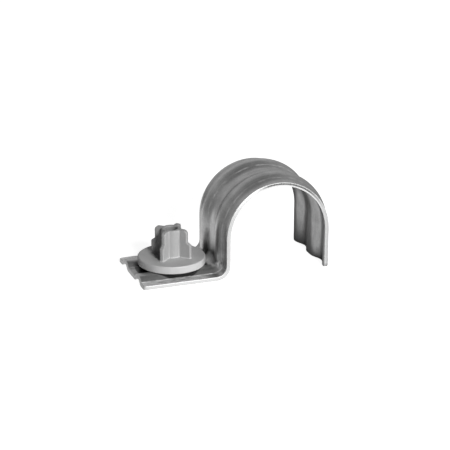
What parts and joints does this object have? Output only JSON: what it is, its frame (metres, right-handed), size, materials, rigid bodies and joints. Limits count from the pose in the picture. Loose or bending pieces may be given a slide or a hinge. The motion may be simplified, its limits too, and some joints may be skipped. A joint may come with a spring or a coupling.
{
  "type": "nailing conduit clip",
  "caption": "Beaded sheet-steel conduit clip: a half-round saddle with one flat foot, and a finned plastic nail guide on the foot that takes the fixing nail.",
  "frame": {"origin": "on the conduit's axis, half way across the strip", "axes": "+Y along the conduit, +Z away from the wall, the foot towards -X"},
  "size_m": [0.0499, 0.021, 0.0251],
  "materials": {
    "galvanised_steel": "galvanised, rolled along the strip",
    "grey_plastic": "moulded, satin"
  },
  "bodies": {
    "root": {"saddle_strap": "galvanised_steel", "nail_guide": "grey_plastic"}
  },
  "joints": []
}
